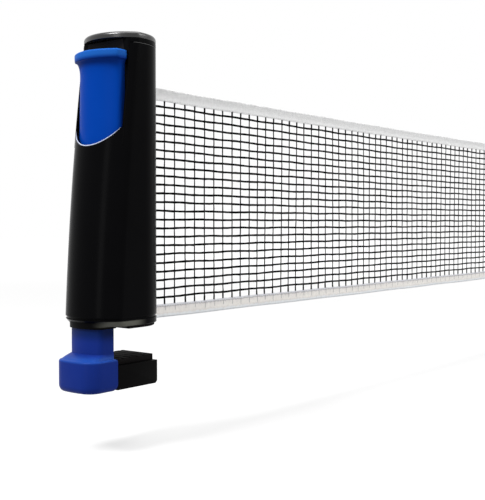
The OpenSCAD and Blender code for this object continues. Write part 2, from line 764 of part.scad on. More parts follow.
post_housing();
top_cap();
cap_screws();
base_plate();
base_screws();
foot_pad();
bulkhead_near();
bulkhead_far();
guide_rod_near();
guide_rod_far();
clamp_spring_near();
clamp_spring_far();
lever_grip();
grip_screws();
clamp_slide();
spring_washers();
jaw_block();
jaw_screws();
jaw_pad();
reel_axle();
axle_clip();
spring_anchor();
reel_tube();
reel_hub_bottom();
reel_hub_top();
recoil_spring();
net_roll();
net_lead();
net_mesh();
top_tape();
bottom_tape();
top_cord();
hem_cord();
end_bar_near();
end_bar_far();
end_hooks();
end_rivets();
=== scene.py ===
import json
import math
import random

import bmesh
import bpy
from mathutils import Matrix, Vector


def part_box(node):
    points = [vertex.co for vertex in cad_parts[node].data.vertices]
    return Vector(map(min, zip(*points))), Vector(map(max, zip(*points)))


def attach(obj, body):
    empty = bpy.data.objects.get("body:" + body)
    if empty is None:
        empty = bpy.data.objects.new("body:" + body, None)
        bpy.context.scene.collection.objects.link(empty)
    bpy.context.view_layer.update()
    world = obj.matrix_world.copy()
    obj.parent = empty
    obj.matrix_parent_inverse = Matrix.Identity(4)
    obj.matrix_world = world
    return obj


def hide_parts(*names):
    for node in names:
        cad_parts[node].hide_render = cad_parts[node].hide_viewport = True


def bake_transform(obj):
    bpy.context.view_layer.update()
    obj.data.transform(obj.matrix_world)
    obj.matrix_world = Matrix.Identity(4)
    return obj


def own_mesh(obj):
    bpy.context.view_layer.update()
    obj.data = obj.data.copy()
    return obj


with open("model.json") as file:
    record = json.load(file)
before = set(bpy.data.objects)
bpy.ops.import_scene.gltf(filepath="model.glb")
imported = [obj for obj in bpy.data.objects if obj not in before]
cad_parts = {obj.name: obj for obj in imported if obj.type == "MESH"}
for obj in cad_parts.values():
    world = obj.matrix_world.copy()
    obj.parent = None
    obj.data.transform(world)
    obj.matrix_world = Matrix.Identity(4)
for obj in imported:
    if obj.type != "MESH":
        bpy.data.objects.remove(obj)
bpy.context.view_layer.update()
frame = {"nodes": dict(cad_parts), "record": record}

nodes = frame["nodes"]
MM = 0.001

# ---------------- sizes, in metres
house_low, house_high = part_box("post_housing")
cap_low, cap_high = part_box("top_cap")
foot_low, foot_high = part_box("foot_pad")
grip_low, grip_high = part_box("lever_grip")
slide_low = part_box("clamp_slide")[0]
mesh_low, mesh_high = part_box("net_mesh")
top_tape_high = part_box("top_tape")[1]
bottom_tape_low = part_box("bottom_tape")[0]
bar_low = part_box("end_bar_near")[0]

POST_R = house_high.y
SHELL_WALL = 2.2 * MM
SHELL_BOTTOM, SHELL_TOP = house_low.z, house_high.z
BASE_TOP = SHELL_BOTTOM - 1.1 * MM
FOOT_REACH = 33.9 * MM
FACE_LEAN = math.radians(2.6)
FACE_BOW_R = 1770 * MM
END_BOW_R = 30 * MM
CORNER_R = 7 * MM
POCKET_HALF = 20 * MM
LIP_Z = 111 * MM
LIP_RISE = 11 * MM
LIP_R = (POCKET_HALF ** 2 + LIP_RISE ** 2) / (2 * LIP_RISE)
SLOT_HALF = 1.6 * MM
SLOT_TOP = top_tape_high.z + 1.5 * MM
BULK_FRONT = 10.2 * MM
EDGE_R = 0.6 * MM
CHEEK_T = 1.4 * MM
LINE_Z = SHELL_TOP - 2.9 * MM
LINE_HALF, LINE_DEEP = 0.4 * MM, 0.4 * MM
LEDGE_T = 5.6 * MM
LEDGE_LOW = grip_high.z - LEDGE_T
CUP_LOW = slide_low.z
CUP_TOP = CUP_LOW + 20 * MM
RIM_DROP, SHOULDER_RISE = 0.5 * MM, 2.7 * MM
NECK_REACH, NECK_BACK, NECK_HALF, NECK_CORNER = 30.7 * MM, 17 * MM, 13.4 * MM, 4 * MM
NECK_TOP = 6 * MM
STEM_H, STEM_GAP = 32 * MM, 0.9 * MM
COLLAR_WALL = 0.8 * MM
CAP_EDGE_R = 2.2 * MM
SKIRT_WALL = 1.5 * MM
SCREW_HEAD_R, RECESS_DEEP = 2.8 * MM, 2 * MM
TOE_REACH = 30.2 * MM
PLAY = 0.3 * MM

# ---------------- mesh helpers
def reach_at(z):
    """How far the outer end stands out from the post's axis at height z."""
    return FOOT_REACH - z * math.tan(FACE_LEAN) - z * z / (2 * FACE_BOW_R)


def evenly(start, end, steps):
    """Values at even steps from start to end, both counted."""
    return [start + (end - start) * i / steps for i in range(steps + 1)]


def arc(centre, radius, start, end, steps):
    """Points along an arc, both ends counted, angles in degrees."""
    turns = [math.radians(a) for a in evenly(start, end, steps)]
    return [(centre[0] + radius * math.cos(a), centre[1] + radius * math.sin(a)) for a in turns]


def quarter_turn(steps, first=1):
    """Sine and cosine at even steps of a quarter turn."""
    turns = [math.radians(a) for a in evenly(0, 90, steps)[first:]]
    return [(math.sin(a), math.cos(a)) for a in turns]


def end_corner(reach, half, corner, bow):
    """Centre of a bowed end, the corner arc's centre beside it and where the two arcs meet."""
    bow_x, side = bow - reach, half - corner
    corner_x = bow_x - math.sqrt((bow - corner) ** 2 - side ** 2)
    return bow_x, (corner_x, side), math.degrees(math.atan2(side, bow_x - corner_x))


def bowed_end(reach, half, corner, bow, inset=0.0):
    """Corner, bow and corner of a block's outer end, inset all round."""
    bow_x, (corner_x, side), turn = end_corner(reach, half, corner, bow)
    near = arc((corner_x, side), corner - inset, 90, 180 - turn, 8)
    bend = arc((bow_x, 0), bow - inset, 180 - turn, 180 + turn, 24)
    far = arc((corner_x, -side), corner - inset, 180 + turn, 270, 8)
    return near + bend[1:-1] + far


def post_plan(reach, inset=0.0):
    """Plan of the post: a half circle toward the net and the bowed outer end."""
    inner = arc((0, 0), POST_R - inset, -90, 90, 48)
    return inner + bowed_end(reach, POST_R, CORNER_R, END_BOW_R, inset)


def block_plan(reach, back, half, corner, bow, inset=0.0):
    """Plan of a block with a flat inner face at -back and a bowed outer end."""
    face = [(-back - inset, -half + inset), (-back - inset, half - inset)]
    return face + bowed_end(reach, half, corner, bow, inset)


def neck_plan(out=0.0, rounder=0.0, inset=0.0):
    """Plan of the neck, or of a wall that stands out round it."""
    return block_plan(NECK_REACH + out, NECK_BACK - out, NECK_HALF + out,
                      NECK_CORNER + rounder, NECK_REACH + rounder, inset)


def level(plan, z):
    """The points of a plan, all at one height."""
    return [(x, y, z) for x, y in plan]


def middle(low, high):
    """Place in plan of the middle of a box."""
    return (low.x + high.x) / 2, (low.y + high.y) / 2


def put_in_scene(name, data):
    """A new object in the scene that shows the data."""
    thing = bpy.data.objects.new(name, data)
    bpy.context.scene.collection.objects.link(thing)
    return thing


def mesh_piece(name, points, faces, sharp=35):
    """A piece from its points and faces, smooth but for edges sharper than the angle."""
    mesh = bpy.data.meshes.new(name)
    mesh.from_pydata([tuple(p) for p in points], [], faces)
    mesh.validate()
    mesh.update()
    return smooth(put_in_scene(name, mesh), sharp)


def smooth(piece, sharp=35):
    """Shades the piece smooth but for edges sharper than the angle."""
    piece.data.polygons.foreach_set("use_smooth", [True] * len(piece.data.polygons))
    piece.data.set_sharp_from_angle(angle=math.radians(sharp))
    piece.data.update()
    return piece


def outward(piece):
    """Turns the faces of a closed mesh outward."""
    bm = bmesh.new()
    bm.from_mesh(piece.data)
    bmesh.ops.recalc_face_normals(bm, faces=bm.faces)
    bm.to_mesh(piece.data)
    bm.free()
    return piece


def tube_faces(rings_count, around):
    """The faces of a skin through rings of points, with one face over each end."""
    faces = [
        (k * around + i, k * around + (i + 1) % around,
         (k + 1) * around + (i + 1) % around, (k + 1) * around + i)
        for k in range(rings_count - 1) for i in range(around)
    ]
    last = (rings_count - 1) * around
    return faces + [tuple(range(around))[::-1], tuple(last + i for i in range(around))]


def loft(name, rings, sharp=35):
    """A closed skin through rings of points, with flat ends."""
    points = [p for ring in rings for p in ring]
    return outward(mesh_piece(name, points, tube_faces(len(rings), len(rings[0])), sharp))


def prism(name, plan, low, high):
    """A piece of one plan between two heights."""
    return loft(name, [level(plan, low), level(plan, high)])


def applied(piece):
    """Turns the piece's modifiers into its mesh."""
    graph = bpy.context.evaluated_depsgraph_get()
    done = bpy.data.meshes.new_from_object(piece.evaluated_get(graph))
    piece.modifiers.clear()
    piece.data = done
    return smooth(piece)


def cut(piece, cutter):
    """Takes the cutter's space out of the piece."""
    mod = piece.modifiers.new("cut", "BOOLEAN")
    mod.operation, mod.solver, mod.object = "DIFFERENCE", "EXACT", cutter
    applied(piece)
    bpy.data.objects.remove(cutter)
    return piece


def drilled(piece, place, radius, low, high, around=40):
    """Takes an upright round hole out of the piece."""
    ring = arc(place, radius, 0, 360, around)[:-1]
    return cut(piece, prism("hole", ring, low, high))


def box_piece(name, low, high):
    """A box between two corners, for cutting and for square pieces."""
    ring = [(low[0], low[1]), (high[0], low[1]), (high[0], high[1]), (low[0], high[1])]
    return prism(name, ring, low[2], high[2])


def tube(name, line, radius, around=8, square_to=(0, 1, 0)):
    """A round tube along a line that never runs along square_to.

    The radius is one number, or a list with one for each point.
    """
    radii = radius if isinstance(radius, list) else [radius] * len(line)
    points = []
    for k, p in enumerate(line):
        before, after = Vector(line[max(k - 1, 0)]), Vector(line[min(k + 1, len(line) - 1)])
        ahead = (after - before).normalized()
        side = ahead.cross(Vector(square_to)).normalized()
        up = side.cross(ahead)
        for i in range(around):
            a = 2 * math.pi * i / around
            points.append(Vector(p) + radii[k] * (math.cos(a) * side + math.sin(a) * up))
    return mesh_piece(name, points, tube_faces(len(line), around), 60)


def joined(name, pieces, sharp=35):
    """One piece made of several."""
    points, faces = [], []
    for piece in pieces:
        start = len(points)
        points += [tuple(v.co) for v in piece.data.vertices]
        faces += [tuple(start + v for v in p.vertices) for p in piece.data.polygons]
        bpy.data.objects.remove(piece)
    return mesh_piece(name, points, faces, sharp)


# ---------------- materials
def grey(brightness):
    """A colour of three equal parts."""
    return (brightness,) * 3


class Shade:
    """A material on Blender's Principled shader, with short calls for its nodes."""

    def __init__(self, name, colour, roughness, metallic=0.0, **sockets):
        self.mat = bpy.data.materials.new(name)
        self.mat.use_nodes = True
        self.tree = self.mat.node_tree
        self.shader = self.tree.nodes["Principled BSDF"]
        self.shader.inputs["Base Color"].default_value = (*colour, 1)
        self.shader.inputs["Roughness"].default_value = roughness
        self.shader.inputs["Metallic"].default_value = metallic
        for socket, value in sockets.items():
            self.shader.inputs[socket.replace("_", " ")].default_value = value
        self.place = self.add("ShaderNodeTexCoord").outputs["Object"]

    def add(self, kind, settings=None, **properties):
        """A new node, with the settings of its sockets and its own properties."""
        node = self.tree.nodes.new(kind)
        for key, value in properties.items():
            setattr(node, key, value)
        for socket, value in (settings or {}).items():
            node.inputs[socket].default_value = value
        return node

    def link(self, output, socket):
        self.tree.links.new(output, socket)

    def stretched(self, scale):
        """The place on the piece, scaled along each axis."""
        mapping = self.add("ShaderNodeMapping", {"Scale": scale})
        self.link(self.place, mapping.inputs["Vector"])
        return mapping.outputs["Vector"]

    def noise(self, scale, detail=3.0, stretch=None):
        """Cloudy noise of 0 to 1."""
        node = self.add("ShaderNodeTexNoise", {"Scale": scale, "Detail": detail})
        self.link(self.stretched(stretch) if stretch else self.place, node.inputs["Vector"])
        return node.outputs["Fac"]

    def wave(self, scale, axis, distortion):
        """Bands of 0 to 1 that follow one another along an axis."""
        settings = {"Scale": scale, "Distortion": distortion, "Detail": 1}
        node = self.add("ShaderNodeTexWave", settings, bands_direction=axis)
        self.link(self.place, node.inputs["Vector"])
        return node.outputs["Fac"]

    def along(self, axis, start, end):
        """0 to 1 between two places along an axis, held at both ends."""
        parts = self.add("ShaderNodeSeparateXYZ")
        self.link(self.place, parts.inputs[0])
        node = self.add("ShaderNodeMapRange", {"From Min": start, "From Max": end},
                        interpolation_type="SMOOTHSTEP")
        self.link(parts.outputs[axis], node.inputs["Value"])
        return node.outputs["Result"]

    def spread(self, source, low, high):
        """A value of 0 to 1, moved to the range from low to high."""
        node = self.add("ShaderNodeMapRange", {"To Min": low, "To Max": high})
        self.link(source, node.inputs["Value"])
        return node.outputs["Result"]

    def blend_colours(self, source, first, second):
        """The first colour where the source is 0, the second where it is 1."""
        node = self.add("ShaderNodeMix", data_type="RGBA")
        for colour, socket in ((first, node.inputs[6]), (second, node.inputs[7])):
            if isinstance(colour, tuple):
                socket.default_value = (*colour, 1)
            else:
                self.link(colour, socket)
        self.link(source, node.inputs[0])
        return node.outputs[2]

    def sum_of(self, first, second, operation="ADD"):
        """Two values added, or put together by another operation."""
        node = self.add("ShaderNodeMath", operation=operation)
        self.link(first, node.inputs[0])
        self.link(second, node.inputs[1])
        return node.outputs[0]

    def weave(self, pitch):
        """Ribs both ways, crossed as in plain weave."""
        ribs = [self.wave(1 / pitch / 2, axis, 0.4) for axis in "XZ"]
        return self.sum_of(*ribs, "MULTIPLY")

    def times(self, colour, factor):
        """A colour dimmed or lifted by a number."""
        node = self.add("ShaderNodeVectorMath", operation="SCALE")
        self.link(colour, node.inputs[0])
        self.link(factor, node.inputs["Scale"])
        return node.outputs[0]

    def colour_from(self, source, first, second):
        self.link(self.blend_colours(source, first, second), self.shader.inputs["Base Color"])

    def roughness_from(self, source, low, high):
        self.link(self.spread(source, low, high), self.shader.inputs["Roughness"])

    def bump_from(self, source, strength, distance):
        node = self.add("ShaderNodeBump", {"Strength": strength, "Distance": distance})
        self.link(source, node.inputs["Height"])
        self.link(node.outputs["Normal"], self.shader.inputs["Normal"])


def plastic(name, colour, lighter, roughness, grain=0.15, specular=0.2, painted_light_zones=()):
    """Moulded plastic: a faint mottle, uneven gloss and a fine moulded skin.

    Each zone is painted light or shade, given as (colour, band, ...): where all its bands are 1, the
    plastic has that colour.
    """
    shade = Shade(name, colour, roughness, Specular_IOR_Level=specular)
    tint = shade.blend_colours(shade.noise(45, 4), colour, lighter)
    for zone, *bands in painted_light_zones:
        share = shade.along(*bands[0])
        for band in bands[1:]:
            share = shade.sum_of(share, shade.along(*band), "MULTIPLY")
        tint = shade.blend_colours(share, tint, zone)
    shade.link(tint, shade.shader.inputs["Base Color"])
    shade.roughness_from(shade.noise(90, 5), roughness - 0.05, roughness + 0.07)
    shade.bump_from(shade.noise(2600, 2), grain, 0.06 * MM)
    return shade.mat


def rubber(name, colour, lighter):
    """Soft rubber: dull, mottled and finely grained."""
    shade = Shade(name, colour, 0.75, Specular_IOR_Level=0.04)
    shade.colour_from(shade.noise(120, 4), colour, lighter)
    shade.bump_from(shade.noise(1900, 3), 0.5, 0.15 * MM)
    return shade.mat


def steel(name, colour, roughness, stretch=(1, 1, 14)):
    """Drawn or rolled metal, with fine lines along it."""
    shade = Shade(name, colour, roughness, 1.0)
    lines = shade.noise(700, 2, stretch)
    shade.roughness_from(lines, roughness - 0.06, roughness + 0.12)
    shade.bump_from(lines, 0.12, 0.04 * MM)
    return shade.mat


def woven(name, colour, darker, pitch):
    """Cloth woven of fine yarn, dulled where it is worn in some places."""
    shade = Shade(name, colour, 0.85, Sheen_Weight=0.2, Sheen_Roughness=0.5,
                  Specular_IOR_Level=0.2)
    weave = shade.weave(pitch)
    worn = shade.spread(shade.noise(420, 4, (0.6, 1, 1)), 0.1, 0.9)
    shade.colour_from(shade.sum_of(weave, worn, "MULTIPLY"), darker, colour)
    shade.bump_from(weave, 1.0, 0.2 * MM)
    return shade.mat


def tape_cloth(name, stops, pitch):
    """A folded tape: bands of colour from its folded edge to its free edges, creased and woven."""
    shade = Shade(name, stops[0][1], 0.85, Sheen_Weight=0.1, Sheen_Roughness=0.5,
                  Specular_IOR_Level=0.1)
    across = shade.add("ShaderNodeAttribute", attribute_name="across").outputs["Fac"]
    fray = shade.spread(shade.noise(500, 3, (1, 1, 0.5)), -0.14, 0.14)
    ramp = shade.add("ShaderNodeValToRGB")
    while len(ramp.color_ramp.elements) < len(stops):
        ramp.color_ramp.elements.new(0.5)
    for element, (place, colour) in zip(ramp.color_ramp.elements, stops):
        element.position, element.color = place, (*colour, 1)
    shade.link(shade.sum_of(across, fray), ramp.inputs[0])
    weave = shade.weave(pitch)
    folds = shade.noise(430, 3, (1.0, 0.2, 0.8))
    dim = shade.sum_of(shade.spread(weave, 0.95, 1.06), shade.spread(folds, 0.88, 1.18), "MULTIPLY")
    shade.link(shade.times(ramp.outputs["Color"], dim), shade.shader.inputs["Base Color"])
    shade.bump_from(shade.sum_of(weave, folds), 0.5, 0.2 * MM)
    return shade.mat


def twisted(name, colour, lighter, pitch):
    """Twisted or braided yarn."""
    shade = Shade(name, colour, 0.85, Specular_IOR_Level=0.03)
    twist = shade.wave(1 / pitch / 2, "DIAGONAL", 1.5)
    shade.colour_from(shade.sum_of(twist, shade.noise(300, 3), "MULTIPLY"), colour, lighter)
    shade.bump_from(twist, 0.6, 0.2 * MM)
    return shade.mat


def painted_highlight_edge():
    """The pocket's lip as a painted highlight: a pale line that fades toward its upper ends, in
    brighter and dimmer patches.
    """
    shade = Shade("lip_painted_highlight", (0.3, 0.3, 0.33), 0.2, Specular_IOR_Level=0.6)
    fade = shade.along("Z", LIP_Z + LIP_RISE, LIP_Z + 6 * MM)
    # painted highlight: noise patches that make the pale line brighter or dimmer
    highlight_patches = shade.spread(shade.noise(260, 3), 0.6, 1.2)
    shade.colour_from(shade.sum_of(fade, highlight_patches, "MULTIPLY"), (0.01, 0.01, 0.012), (0.5, 0.55, 0.7))
    shade.roughness_from(shade.noise(300, 3), 0.15, 0.35)
    shade.bump_from(shade.noise(2600, 2), 0.1, 0.06 * MM)
    return shade.mat


GLOSS_BLACK = ((0.0015, 0.0015, 0.0018), (0.0024, 0.0024, 0.0028), 0.2, 0.1, 0.02)
# painted reflection: a pale band round the base's side, fading out toward the outer end and toward
# the net
PAINTED_BASE_REFLECTION = [((0.12, 0.12, 0.102), ("Z", 0.9 * MM, 1.7 * MM),
                 ("Z", BASE_TOP - 0.2 * MM, BASE_TOP - 0.9 * MM),
                 ("X", -31 * MM, -25 * MM), ("X", 2 * MM, -10 * MM))]
# painted shade: the hollow under the ledge is darker; painted light: the ledge above it is lighter
PAINTED_HOLLOW_SHADE_AND_LEDGE_LIGHT = [((0.003, 0.029, 0.22), ("Z", LEDGE_LOW - 6 * MM, LEDGE_LOW - 1 * MM)),
                    ((0.012, 0.1, 0.42), ("Z", LEDGE_LOW, LEDGE_LOW + 3 * MM))]
# painted highlight: a paler band on the cup's rim and shoulder; painted shadow: the neck darker
# toward the base
PAINTED_RIM_LIGHT_AND_NECK_SHADE = [((0.011, 0.052, 0.28), ("Z", CUP_TOP - 2.4 * MM, CUP_TOP - RIM_DROP),
                        ("Z", CUP_TOP + SHOULDER_RISE, CUP_TOP)),
                       ((0.003, 0.014, 0.09), ("Z", -9 * MM, -2 * MM))]
MATERIALS = {
    "housing": plastic("housing_plastic", *GLOSS_BLACK),
    "cap": plastic("cap_plastic", grey(0.002), (0.0035, 0.0035, 0.0033), 0.26, 0.1, 0.6),
    "base": plastic("base_plastic", *GLOSS_BLACK, PAINTED_BASE_REFLECTION),
    "bulkhead": plastic("bulkhead_plastic", (0.007, 0.006, 0.0065), (0.01, 0.009, 0.009),
                        0.45, 0.3, 0.04),
    "lip_painted_highlight": painted_highlight_edge(),
    # painted highlight: the pale grey bead in the groove below the cap
    "line_painted_highlight": plastic("line_plastic", grey(0.05), grey(0.08), 0.3, 0.1, 0.1),
    "grip_blue": plastic("grip_plastic", (0.001, 0.042, 0.31), (0.0015, 0.048, 0.35),
                         0.34, 0.12, 0.015, PAINTED_HOLLOW_SHADE_AND_LEDGE_LIGHT),
    "jaw_blue": plastic("jaw_plastic", (0.006, 0.022, 0.18), (0.008, 0.027, 0.21),
                        0.36, 0.12, 0.045, PAINTED_RIM_LIGHT_AND_NECK_SHADE),
    "jaw_black": plastic("jaw_black_plastic", grey(0.002), (0.0035, 0.0033, 0.0033),
                         0.42, 0.3, 0.02),
    "hub_plastic": plastic("hub_acetal", (0.62, 0.62, 0.58), (0.7, 0.7, 0.66), 0.45),
    "bar_plastic": plastic("bar_plastic", (0.006, 0.006, 0.007), (0.011, 0.011, 0.012), 0.33),
    "pad_rubber": rubber("pad_rubber", (0.004, 0.0035, 0.0035), (0.008, 0.007, 0.007)),
    "screw_steel": steel("screw_steel", (0.6, 0.6, 0.62), 0.3, (1, 1, 1)),
    "rod_steel": steel("rod_steel", (0.58, 0.58, 0.6), 0.22),
    "spring_steel": steel("spring_steel", (0.4, 0.4, 0.42), 0.35, (1, 1, 1)),
    "reel_aluminium": steel("reel_aluminium", (0.72, 0.72, 0.74), 0.32),
    "hook_steel": steel("hook_steel", (0.6, 0.6, 0.62), 0.32, (8, 1, 1)),
    "wound_net": woven("wound_net", (0.07, 0.075, 0.08), (0.012, 0.012, 0.013), 1.2 * MM),
    "net_thread": twisted("net_thread", grey(0.0008), (0.003, 0.003, 0.0035), 0.7 * MM),
    "top_tape": tape_cloth("top_tape_cloth", [
        (0, grey(0.48)), (0.1, grey(0.68)), (0.25, grey(0.82)),
        (0.55, grey(0.86)), (0.75, grey(0.95)), (1, grey(0.98))], 0.55 * MM),
    "bottom_tape": tape_cloth("bottom_tape_cloth", [
        (0, (0.9, 0.93, 0.96)), (0.18, (0.93, 0.96, 0.98)), (0.3, (0.88, 0.85, 0.82)),
        (0.45, (0.97, 0.94, 0.9)), (0.75, (0.93, 0.9, 0.87)), (0.84, (0.64, 0.61, 0.62)),
        (0.92, (0.8, 0.8, 0.84)), (1, (0.86, 0.87, 0.92))], 0.55 * MM),
    "cord": twisted("cord_braid", (0.8, 0.8, 0.78), (0.97, 0.97, 0.95), 0.9 * MM),
    "white_stitch": twisted("white_stitch_yarn", grey(0.75), grey(0.92), 0.4 * MM),
    "stitch": twisted("stitch_yarn", (0.4, 0.4, 0.41), (0.6, 0.6, 0.61), 0.4 * MM),
}


def dress(piece, body, slot, *replaced, look=None):
    """Gives a piece its material, its body (if it rides on one) and the CAD nodes it replaces."""
    piece.data.materials.clear()
    piece.data.materials.append(MATERIALS[look or slot])
    if replaced:
        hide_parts(*replaced)
    if body:
        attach(piece, body)
    return piece


def refined(node, name, body, slot, width, segments=2):
    """A CAD node's form with its flat faces merged and its edges rounded."""
    bm = bmesh.new()
    bm.from_mesh(nodes[node].data)
    bmesh.ops.remove_doubles(bm, verts=bm.verts, dist=2e-6)
    bmesh.ops.dissolve_limit(bm, angle_limit=math.radians(1.0), verts=bm.verts, edges=bm.edges)
    mesh = bpy.data.meshes.new(name)
    bm.to_mesh(mesh)
    bm.free()
    piece = put_in_scene(name, mesh)
    bevel = piece.modifiers.new("bevel", "BEVEL")
    bevel.width, bevel.segments = width, segments
    bevel.limit_method, bevel.angle_limit = "ANGLE", math.radians(35)
    dress(applied(piece), body, slot, node)


# ---------------- the post
def half_outline(reach, inset=0.0):
    """Contour from the net's slot round one side to the edge of the pocket."""
    slot, pocket = SLOT_HALF + EDGE_R, POCKET_HALF + EDGE_R
    bow_x, (corner_x, side), turn = end_corner(reach, POST_R, CORNER_R, END_BOW_R)
    round_r, bow_r = POST_R - inset, END_BOW_R - inset
    line = arc((0, 0), round_r, math.degrees(math.asin(slot / round_r)), 90, 26)
    line += [(x, round_r) for x in evenly(0, corner_x, 6)[1:-1]]
    line += arc((corner_x, side), CORNER_R - inset, 90, 180 - turn, 10)
    return line + arc((bow_x, 0), bow_r, 180 - turn,
                      180 - math.degrees(math.asin(pocket / bow_r)), 3)[1:]


def grooved(z):
    """Depth of the fine line that runs round the housing below the cap."""
    return LINE_DEEP * max(0.0, 1 - (abs(z - LINE_Z) / LINE_HALF) ** 4)


def end_skin(z, y, deep=0.0):
    """Place along x of the bowed outer face, or of a face that lies deep behind it."""
    return END_BOW_R - reach_at(z) - math.sqrt((END_BOW_R - deep) ** 2 - y ** 2)


def lip_curve(y):
    """Lower edge of the pocket, before its rounding."""
    return LIP_Z + LIP_R - math.sqrt((LIP_R + EDGE_R) ** 2 - y ** 2)


def housing():
    """The tube of the post, open at the pocket and at the net's slot, with rounded edges."""
    pocket = POCKET_HALF + EDGE_R
    side_top, slot_top = lip_curve(pocket), SLOT_TOP + EDGE_R
    low, high = SHELL_BOTTOM + EDGE_R, SHELL_TOP - EDGE_R
    rows_low, middle_count = 32, 41
    rows = evenly(low, side_top, rows_low) + evenly(side_top, slot_top, 8)[1:]
    slot_row = len(rows) - 1
    line_rows = [LINE_Z + LINE_HALF * step / 4 for step in range(-4, 5)]
    rows += evenly(slot_top, line_rows[0], 6)[1:-1] + line_rows
    rows += [(line_rows[-1] + high) / 2, high]
    widths = evenly(-pocket, pocket, middle_count + 1)[1:-1]
    half_count = len(half_outline(FOOT_REACH))
    count = 2 * half_count + middle_count
    outer, inner, index = [], [], {}

    def put(key, skin, lining):
        index[key] = len(outer)
        outer.append(Vector(skin))
        inner.append(Vector(lining))

    def contour(z, inset):
        half = half_outline(reach_at(z), inset)
        return half + [(x, -y) for x, y in reversed(half)]

    for k, z in enumerate(rows):
        for j, (skin, lining) in enumerate(zip(contour(z, grooved(z)), contour(z, SHELL_WALL))):
            column = j if j < half_count else j + middle_count
            put((k, column), (*skin, z), (*lining, z))
    for k in range(rows_low + 1):
        for j, y in enumerate(reversed(widths)):
            z = low + (lip_curve(y) - low) * k / rows_low
            put((k, half_count + j), (end_skin(z, y), y, z), (end_skin(z, y, SHELL_WALL), y, z))
    bridge = 5
    for k in range(slot_row, len(rows)):
        for j in range(1, bridge):
            y = (SLOT_HALF + EDGE_R) * (2 * j / bridge - 1)
            skin, lining = (math.sqrt((POST_R - deep) ** 2 - y ** 2)
                            for deep in (grooved(rows[k]), SHELL_WALL))
            put((k, count + j), (skin, y, rows[k]), (lining, y, rows[k]))
    order = list(range(count)) + [count + j for j in range(1, bridge)] + [0]
    faces = []
    for k in range(len(rows) - 1):
        for a, b in zip(order, order[1:]):
            quad = [(k, a), (k, b), (k + 1, b), (k + 1, a)]
            if all(corner in index for corner in quad) and not (k < slot_row and b == 0):
                faces.append([index[corner] for corner in quad])
    dress(walled("post_shell", outer, inner, faces), "post", "housing", "post_housing")


def walled(name, outer, inner, faces):
    """A wall between two skins of the same faces, with its free edges rounded."""
    uses = {}
    for face in faces:
        for a, b in zip(face, face[1:] + face[:1]):
            uses[(a, b)] = face
    after = {a: b for (a, b) in uses if (b, a) not in uses}
    before = {b: a for a, b in after.items()}
    n = len(outer)
    points = outer + inner
    skin = faces + [[n + v for v in reversed(face)] for face in faces]
    rings = {}
    for v in after:
        out = (outer[v] - inner[v]).normalized()
        along = (outer[after[v]] - outer[before[v]]).normalized()
        off = along.cross(out)
        face = uses[(v, after[v])]
        centre = sum((outer[c] for c in face), Vector()) / len(face)
        if off.dot(outer[v] - centre) < 0:
            off = -off
        turns = quarter_turn(4)
        ring = [outer[v] + EDGE_R * (off * sin - out * (1 - cos)) for sin, cos in turns]
        ring += [inner[v] + EDGE_R * (off * sin + out * (1 - cos)) for sin, cos in reversed(turns)]
        rings[v] = [v] + [len(points) + step for step in range(len(ring))] + [n + v]
        points += ring
    for a, b in after.items():
        for step in range(len(rings[a]) - 1):
            skin.append([rings[a][step], rings[b][step], rings[b][step + 1], rings[a][step + 1]])
    return outward(mesh_piece(name, points, skin))


def lip_edge():
    """The upper edge of the pocket's lip, a bead along the shell's outer face that carries a painted
    highlight.
    """
    reach, bead, steps, tip = POCKET_HALF - 0.3 * MM, 0.42 * MM, 60, 0.4
    radii = [bead * math.sin(math.pi * (k + tip) / (steps + 2 * tip)) ** 0.3
             for k in range(steps + 1)]
    line = []
    for y in evenly(-reach, reach, steps):
        z = LIP_Z + LIP_R - math.sqrt(LIP_R ** 2 - y ** 2) - 0.22 * MM
        line.append((end_skin(z, y, 0.3 * MM), y, z))
    piece = tube("lip_edge", line, radii, 8, (1, 0, 0))
    dress(piece, "post", "housing", look="lip_painted_highlight")


def pocket_cheeks():
    """The side walls of the grip's pocket, and the shell's cut edge beside the bulkhead."""
    parts = []
    inner_r = END_BOW_R - SHELL_WALL
    for side in (-1, 1):
        walls, wedges = [], []
        near, far = side * POCKET_HALF, side * (POCKET_HALF + CHEEK_T)
        for z in evenly(LIP_Z, SHELL_TOP, 23):
            bow_x = END_BOW_R - reach_at(z)
            low, high = end_skin(z, POCKET_HALF) + MM, -BULK_FRONT - 0.1 * MM
            if low < high - 0.3 * MM:
                walls.append([(low, near, z), (high, near, z), (high, far, z), (low, far, z)])
            beside = inner_r ** 2 - (bow_x + BULK_FRONT) ** 2
            start = math.sqrt(beside) - 0.35 * MM if beside > 0 else POCKET_HALF
            if start > POCKET_HALF - 0.4 * MM:
                continue
            end = min(math.sqrt(END_BOW_R ** 2 - (bow_x + BULK_FRONT) ** 2) - 0.2 * MM, POCKET_HALF)
            front, back = -BULK_FRONT + 0.05 * MM, -BULK_FRONT + 1.6 * MM
            corner = POCKET_HALF + EDGE_R
            tuck = max(end_skin(z, corner) + 0.3 * MM, front)
            wedges.append([(front, side * start, z), (front, side * end, z),
                           (tuck, side * corner, z), (back, side * corner, z),
                           (back, side * start, z)])
        parts += [loft("cheek", walls), loft("wedge", wedges)]
    dress(joined("pocket_cheeks", parts), "post", "housing")


def line_bead():
    """The fine pale line in the groove below the cap, from the slot round to the pocket: a bead
    whose pale grey is a painted highlight.
    """
    radius, inset = 0.22 * MM, 0.28 * MM
    half = half_outline(reach_at(LINE_Z), inset)[:-3]
    parts = [tube("line", [(x, side * y, LINE_Z) for x, y in half], radius, 6, (0, 0, 1))
             for side in (-1, 1)]
    dress(joined("housing_line", parts, 60), "post", "housing", look="line_painted_highlight")


def rounded_rings(plan, low, high, top_edge, low_edge, steps=6):
    """Rings of a slab with its upper and lower edges rounded; plan takes an inset."""
    turns = quarter_turn(steps, 0)
    rings = [level(plan(low_edge * (1 - sin)), low + low_edge * (1 - cos)) for sin, cos in turns]
    return rings + [level(plan(top_edge * (1 - cos)), high - top_edge * (1 - sin))
                    for sin, cos in turns]


